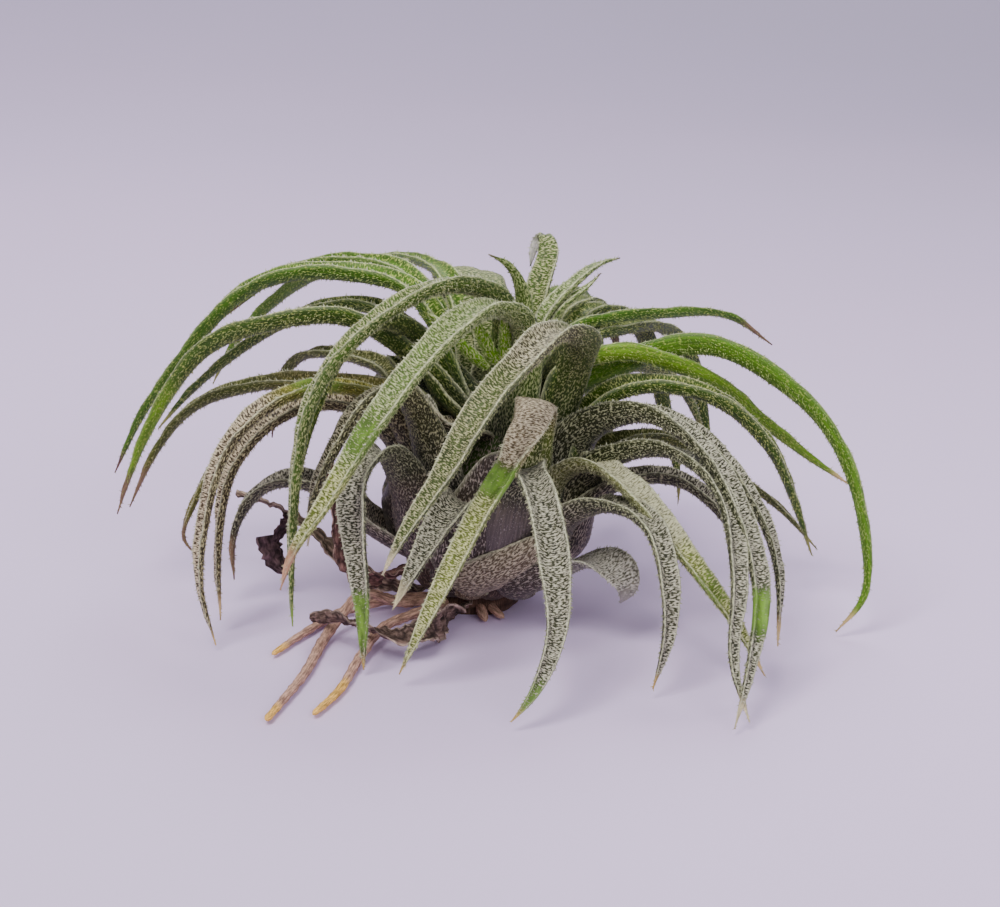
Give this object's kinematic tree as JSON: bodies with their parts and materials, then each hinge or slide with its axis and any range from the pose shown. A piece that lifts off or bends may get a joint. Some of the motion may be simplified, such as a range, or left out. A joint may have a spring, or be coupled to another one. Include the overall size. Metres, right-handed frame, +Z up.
{
  "type": "air plant",
  "caption": "Rooted air plant: a bulb-like rosette of narrow arching channelled leaves on a short stem, with dried leaves and free roots, standing on its flat foot.",
  "frame": {"origin": "middle of the flat foot of the stem, on the surface that the plant stands on", "axes": "+Z up, +X along the rosette's widest spread, +Y away from the side with the roots"},
  "size_m": [0.1104, 0.0911, 0.0545],
  "materials": {
    "root": "dull, fibrous",
    "leaf_old": "dull, covered with fine pale scales",
    "leaf_young": "satin, with fine pale scales",
    "leaf_dried": "dull, shrivelled"
  },
  "bodies": {
    "root": {"stem_and_roots": "root", "old_leaves": "leaf_old", "young_leaves": "leaf_young", "dried_leaf_1": "leaf_dried", "dried_leaf_2": "leaf_dried", "dried_leaf_3": "leaf_dried"}
  },
  "joints": []
}
